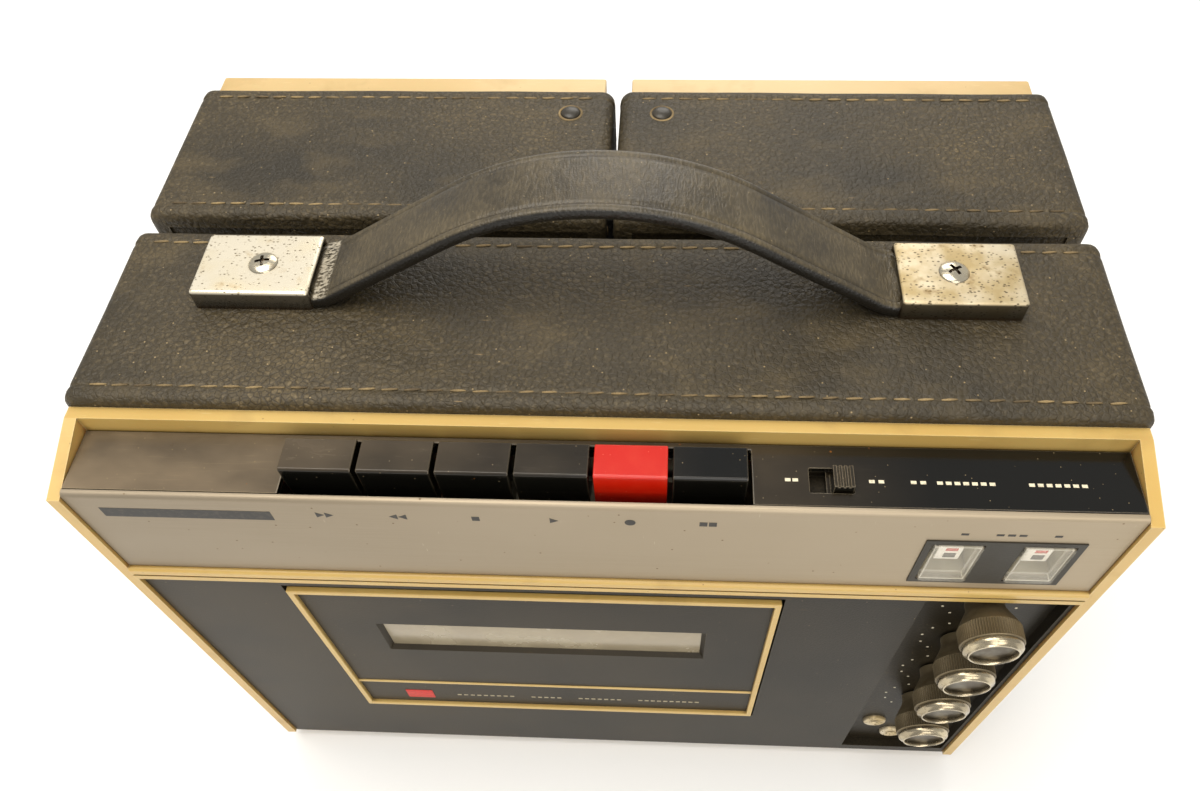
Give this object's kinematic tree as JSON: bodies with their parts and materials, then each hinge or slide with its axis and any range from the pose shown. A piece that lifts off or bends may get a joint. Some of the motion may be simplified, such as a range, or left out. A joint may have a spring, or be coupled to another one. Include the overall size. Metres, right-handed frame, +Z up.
{
  "type": "portable stereo cassette recorder",
  "caption": "Leatherette-cased portable cassette recorder with piano keys, door, level meters, knobs, strap handle and two lift-off rear speakers.",
  "frame": {"origin": "middle of the footprint, on the surface that the feet stand on", "axes": "+Z up; the front with the cassette door and knobs faces -Y; +X is to the right seen from the front"},
  "size_m": [0.3, 0.194, 0.2633],
  "materials": {
    "leatherette": "pebbled grain, worn, with tan dust",
    "cream_plastic": "yellowed satin moulding",
    "pale_cream_plastic": "satin moulding",
    "deck_black": "glossy, scuffed",
    "panel_black": "fine satin",
    "key_black": "glossy moulding",
    "key_red": "glossy moulding",
    "fascia_aluminium": "fine brushed",
    "chrome_plate": "pitted chrome plate",
    "screw_steel": "nickel plate with rust",
    "clear_plastic": "clear moulding",
    "window_grey": "smoky clear pane",
    "dial_white": "printed scale",
    "needle_black": "thin painted blade",
    "knob_metal": "knurled, spun cap",
    "strap_leather": "smooth black strap",
    "zinc_steel": "zinc plated sheet",
    "turned_steel": "turned and ground",
    "rubber_black": "matt rubber",
    "board_resin": "resin bonded board",
    "mechanism_plastic": "moulded nylon",
    "grille_paint": "dark stoved paint",
    "cone_paper": "pressed paper",
    "rivet_dark": "dark burnished"
  },
  "bodies": {
    "recorder": {"cabinet_sleeve": "leatherette", "front_bezel": "cream_plastic", "key_deck": "deck_black", "silver_panel": "fascia_aluminium", "front_panel": "panel_black", "key_shaft": "turned_steel", "switch_body": "panel_black", "meter_plate": "deck_black", "meter_housings": "panel_black", "meter_dials": "dial_white", "meter_lenses": "clear_plastic", "control_pots": "zinc_steel", "jack_sockets": "chrome_plate", "handle_strap": "strap_leather", "handle_cap_left": "chrome_plate", "handle_cap_right": "chrome_plate", "handle_screws": "screw_steel", "chassis_plate": "zinc_steel", "motor": "turned_steel", "drive_belt": "rubber_black", "circuit_board": "board_resin", "back_cover": "panel_black", "speaker_hooks": "zinc_steel", "rubber_feet": "rubber_black"},
    "cassette_door": {"door_panel": "panel_black", "door_trim": "cream_plastic", "door_window": "window_grey", "cassette_carrier": "panel_black"},
    "monitor_switch": {"monitor_slider": "deck_black"},
    "key_fast_forward": {"key_fast_forward": "key_black"},
    "key_rewind": {"key_rewind": "key_black"},
    "key_stop": {"key_stop": "key_black"},
    "key_play": {"key_play": "key_black"},
    "key_record": {"key_record": "key_red"},
    "key_eject": {"key_eject": "key_black"},
    "knob_1": {"knob_1": "knob_metal"},
    "knob_2": {"knob_2": "knob_metal"},
    "knob_3": {"knob_3": "knob_metal"},
    "knob_4": {"knob_4": "knob_metal"},
    "needle_left": {"meter_needle_left": "needle_black"},
    "needle_right": {"meter_needle_right": "needle_black"},
    "head_carriage": {"head_plate": "zinc_steel", "tape_heads": "turned_steel"},
    "pinch_roller": {"pinch_roller": "rubber_black"},
    "flywheel": {"flywheel": "turned_steel"},
    "motor_rotor": {"motor_pulley": "turned_steel"},
    "reel_supply": {"reel_spindle_supply": "mechanism_plastic"},
    "reel_takeup": {"reel_spindle_takeup": "mechanism_plastic"},
    "speaker_left": {"speaker_shell_left": "leatherette", "speaker_frame_left": "pale_cream_plastic", "speaker_grille_left": "grille_paint", "speaker_driver_left": "cone_paper", "speaker_stud_left": "rivet_dark", "speaker_feet_left": "rubber_black"},
    "speaker_right": {"speaker_shell_right": "leatherette", "speaker_frame_right": "pale_cream_plastic", "speaker_grille_right": "grille_paint", "speaker_driver_right": "cone_paper", "speaker_stud_right": "rivet_dark", "speaker_feet_right": "rubber_black"}
  },
  "joints": [
    {"name": "door_hinge", "type": "hinge", "parent": "recorder", "child": "cassette_door", "pos_m": [-0.02185, -0.0803, 0.054], "axis": [1, 0, 0], "range_deg": [0, 32]},
    {"name": "key_fast_forward_press", "type": "hinge", "parent": "recorder", "child": "key_fast_forward", "pos_m": [-0.0739, -0.026, 0.207], "axis": [1, 0, 0], "range_deg": [0, 6], "stiffness_Nm_per_rad": 1, "springref_deg": -8.59},
    {"name": "key_rewind_press", "type": "hinge", "parent": "recorder", "child": "key_rewind", "pos_m": [-0.0529, -0.026, 0.207], "axis": [1, 0, 0], "range_deg": [0, 6], "stiffness_Nm_per_rad": 1, "springref_deg": -8.59},
    {"name": "key_stop_press", "type": "hinge", "parent": "recorder", "child": "key_stop", "pos_m": [-0.0319, -0.026, 0.207], "axis": [1, 0, 0], "range_deg": [0, 6], "stiffness_Nm_per_rad": 1, "springref_deg": -8.59},
    {"name": "key_play_press", "type": "hinge", "parent": "recorder", "child": "key_play", "pos_m": [-0.0109, -0.026, 0.207], "axis": [1, 0, 0], "range_deg": [0, 6], "stiffness_Nm_per_rad": 1, "springref_deg": -8.59},
    {"name": "key_record_press", "type": "hinge", "parent": "recorder", "child": "key_record", "pos_m": [0.0101, -0.026, 0.207], "axis": [1, 0, 0], "range_deg": [0, 6], "stiffness_Nm_per_rad": 1, "springref_deg": -8.59},
    {"name": "key_eject_press", "type": "hinge", "parent": "recorder", "child": "key_eject", "pos_m": [0.0311, -0.026, 0.207], "axis": [1, 0, 0], "range_deg": [0, 6], "stiffness_Nm_per_rad": 1, "springref_deg": -8.59},
    {"name": "monitor_slide", "type": "slide", "parent": "recorder", "child": "monitor_switch", "axis": [-1, 0, 0], "range_m": [0, 0.0058]},
    {"name": "knob_1_turn", "type": "hinge", "parent": "recorder", "child": "knob_1", "pos_m": [0.12, -0.084, 0.1555], "axis": [0, -1, 0], "range_deg": [-140, 140]},
    {"name": "knob_2_turn", "type": "hinge", "parent": "recorder", "child": "knob_2", "pos_m": [0.12, -0.084, 0.1267], "axis": [0, -1, 0], "range_deg": [-140, 140]},
    {"name": "knob_3_turn", "type": "hinge", "parent": "recorder", "child": "knob_3", "pos_m": [0.12, -0.084, 0.0979], "axis": [0, -1, 0], "range_deg": [-140, 140]},
    {"name": "knob_4_turn", "type": "hinge", "parent": "recorder", "child": "knob_4", "pos_m": [0.12, -0.084, 0.0691], "axis": [0, -1, 0], "range_deg": [-140, 140]},
    {"name": "needle_left_swing", "type": "hinge", "parent": "recorder", "child": "needle_left", "pos_m": [0.0997, -0.075, 0.181], "axis": [0, 1, 0], "range_deg": [0, 44], "stiffness_Nm_per_rad": 0.0001},
    {"name": "needle_right_swing", "type": "hinge", "parent": "recorder", "child": "needle_right", "pos_m": [0.1243, -0.075, 0.181], "axis": [0, 1, 0], "range_deg": [0, 44], "stiffness_Nm_per_rad": 0.0001},
    {"name": "head_slide", "type": "slide", "parent": "recorder", "child": "head_carriage", "axis": [0, 0, -1], "range_m": [0, 0.006]},
    {"name": "pinch_roller_spin", "type": "hinge", "parent": "head_carriage", "child": "pinch_roller", "pos_m": [-0.044, -0.07, 0.16105], "axis": [0, 1, 0], "continuous": true},
    {"name": "flywheel_spin", "type": "hinge", "parent": "recorder", "child": "flywheel", "pos_m": [-0.044, -0.044, 0.147], "axis": [0, 1, 0], "continuous": true},
    {"name": "motor_spin", "type": "hinge", "parent": "recorder", "child": "motor_rotor", "pos_m": [0.055, -0.042, 0.06], "axis": [0, 1, 0], "continuous": true},
    {"name": "reel_supply_spin", "type": "hinge", "parent": "recorder", "child": "reel_supply", "pos_m": [-0.0431, -0.062, 0.12], "axis": [0, 1, 0], "continuous": true},
    {"name": "reel_takeup_spin", "type": "hinge", "parent": "recorder", "child": "reel_takeup", "pos_m": [-0.0006, -0.062, 0.12], "axis": [0, 1, 0], "continuous": true},
    {"name": "speaker_left_lift", "type": "slide", "parent": "recorder", "child": "speaker_left", "axis": [0, 0, 1], "range_m": [0, 0.014]},
    {"name": "speaker_right_lift", "type": "slide", "parent": "recorder", "child": "speaker_right", "axis": [0, 0, 1], "range_m": [0, 0.014]}
  ],
  "couplings": [
    {"joint": "head_slide", "follows": "key_play_press", "m_per_rad": 0.057296},
    {"joint": "motor_spin", "follows": "flywheel_spin", "ratio": 6}
  ]
}
